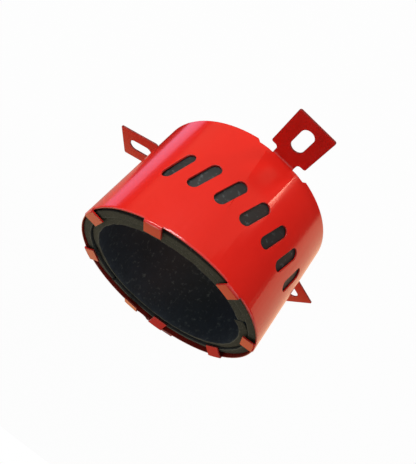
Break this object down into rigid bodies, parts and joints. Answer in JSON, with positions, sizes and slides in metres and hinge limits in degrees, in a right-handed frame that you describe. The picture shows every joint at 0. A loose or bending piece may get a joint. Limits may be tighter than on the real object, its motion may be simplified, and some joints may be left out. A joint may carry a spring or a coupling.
{
  "type": "pipe fire collar",
  "caption": "Round red steel fire collar with slotted wall lugs and folded front tabs, lined with layers of dark intumescent strip that closes a plastic pipe's opening in a fire.",
  "frame": {"origin": "where the bore's axis meets the wall plane, which holds the back faces of the lugs", "axes": "+Z along the bore away from the wall, +X towards the lug opposite the lap in the shell"},
  "size_m": [0.1215, 0.1416, 0.0632],
  "materials": {
    "shell_paint": "gloss red powder coat on sheet steel",
    "liner": "matt dark grey graphite intumescent strip"
  },
  "bodies": {
    "root": {"shell": "shell_paint", "outer_strip": "liner", "inner_strip": "liner"}
  },
  "joints": []
}
